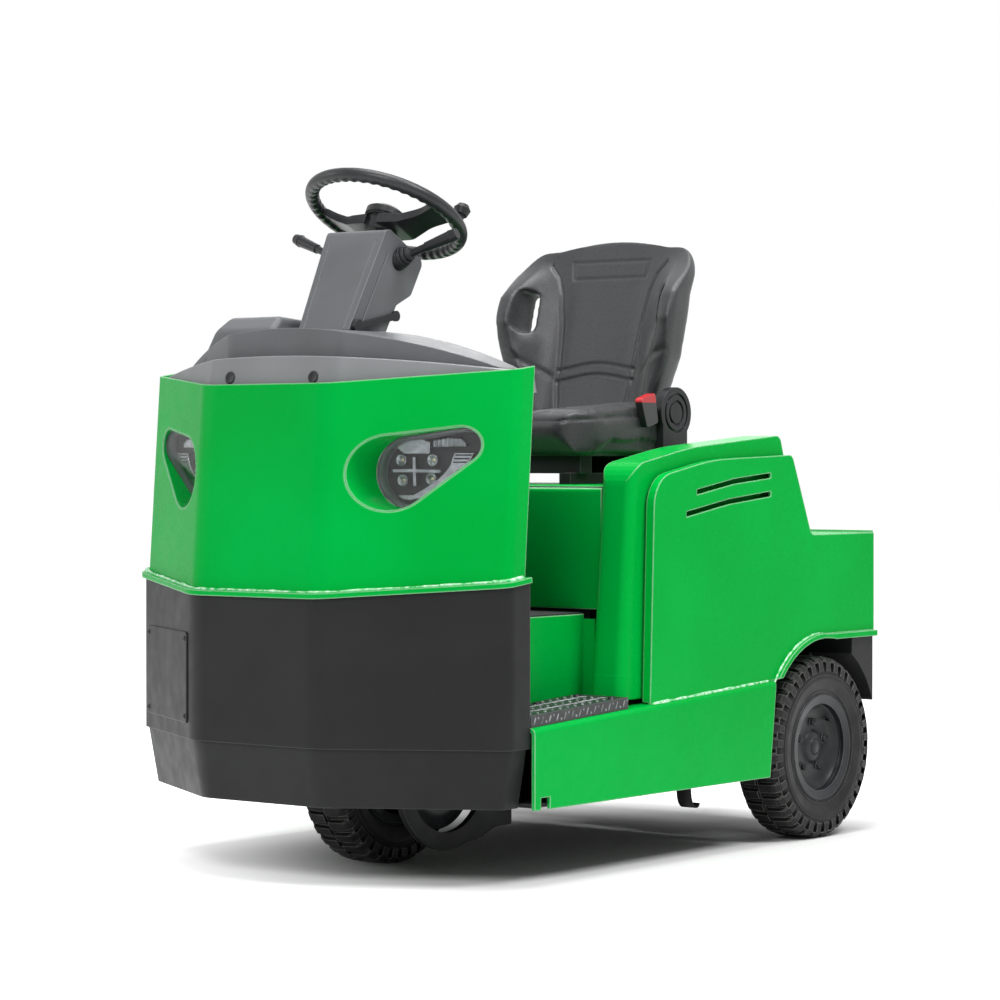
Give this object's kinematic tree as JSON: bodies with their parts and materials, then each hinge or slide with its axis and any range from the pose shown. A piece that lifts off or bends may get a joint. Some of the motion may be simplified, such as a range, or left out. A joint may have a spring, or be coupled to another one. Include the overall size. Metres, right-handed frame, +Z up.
{
  "type": "electric tow tractor",
  "caption": "Compact three-wheel sit-down tow tractor with a wrap-round front, standing platform, side steps, tilting battery hood with seat, lugged tyres and a rear pin coupling.",
  "frame": {"origin": "on the ground under the middle of the tractor's box", "axes": "+Z up, the front faces -Y, +X is the driver's left"},
  "size_m": [1.005, 1.6802, 1.4365],
  "materials": {
    "green_paint": "gloss",
    "black_paint": "satin",
    "black_rims": "satin",
    "grey_plastic": "grained",
    "black_plastic": "satin",
    "clear_lens": "clear",
    "red_lens": "clear",
    "red_plastic": "gloss",
    "grey_vinyl": "grained",
    "black_rubber": "matt",
    "tyre": "matt",
    "battery_case": "matt",
    "bare_steel": "turned"
  },
  "bodies": {
    "chassis": {"chassis_frame": "black_paint", "left_sill": "green_paint", "right_sill": "green_paint", "front_band": "black_paint", "lower_bumper": "black_paint", "front_flange": "green_paint", "front_panel": "green_paint", "access_hatch": "black_paint", "headlamp_pockets": "green_paint", "headlamp_cores": "black_plastic", "headlamp_lenses": "clear_lens", "bulkhead": "black_paint", "dash_fascia": "grey_plastic", "dash_cowl": "grey_plastic", "instrument_pod": "grey_plastic", "steering_column": "grey_plastic", "column_stalks": "black_plastic", "tilt_lever": "black_plastic", "platform": "green_paint", "floor_mat": "black_rubber", "steps": "black_paint", "pedals": "black_plastic", "left_side_cover": "green_paint", "right_side_cover": "green_paint", "rear_body": "green_paint", "rear_bumper": "black_paint", "tail_lamps": "red_lens", "battery_block": "battery_case", "rear_axle": "black_paint", "steer_bearing": "bare_steel", "tow_coupling": "black_paint", "ground_strap": "black_rubber"},
    "hood": {"hood": "green_paint", "seat_rails": "black_paint", "seat_cushion": "grey_vinyl", "seat_back": "grey_vinyl", "seat_brackets": "black_plastic", "belt_buckle": "red_plastic"},
    "tow_pin": {"tow_pin": "bare_steel"},
    "helm": {"steering_wheel": "black_plastic", "steering_knob": "black_plastic"},
    "steer_fork": {"steer_fork": "black_paint", "front_axle": "bare_steel"},
    "front_wheel": {"front_tyre": "tyre", "front_rim": "black_rims"},
    "left_wheel": {"left_tyre": "tyre", "left_rim": "black_rims"},
    "right_wheel": {"right_tyre": "tyre", "right_rim": "black_rims"}
  },
  "joints": [
    {"name": "steer", "type": "hinge", "parent": "chassis", "child": "steer_fork", "pos_m": [0, -0.43687, 0.462], "axis": [0, 0, 1], "range_deg": [-75, 75]},
    {"name": "front_spin", "type": "hinge", "parent": "steer_fork", "child": "front_wheel", "pos_m": [0, -0.43687, 0.201], "axis": [1, 0, 0], "continuous": true},
    {"name": "left_spin", "type": "hinge", "parent": "chassis", "child": "left_wheel", "pos_m": [0.447, 0.49113, 0.201], "axis": [1, 0, 0], "continuous": true},
    {"name": "right_spin", "type": "hinge", "parent": "chassis", "child": "right_wheel", "pos_m": [-0.447, 0.49113, 0.201], "axis": [1, 0, 0], "continuous": true},
    {"name": "helm_turn", "type": "hinge", "parent": "chassis", "child": "helm", "pos_m": [0, -0.41987, 1.349], "axis": [0, 0.454, 0.891], "range_deg": [-450, 450]},
    {"name": "hood_open", "type": "hinge", "parent": "chassis", "child": "hood", "pos_m": [0, 0.45213, 0.696], "axis": [-1, 0, 0], "range_deg": [0, 60]},
    {"name": "pin_lift", "type": "slide", "parent": "chassis", "child": "tow_pin", "axis": [0, 0, 1], "range_m": [0, 0.13]}
  ],
  "couplings": [
    {"joint": "helm_turn", "follows": "steer", "ratio": 6}
  ]
}
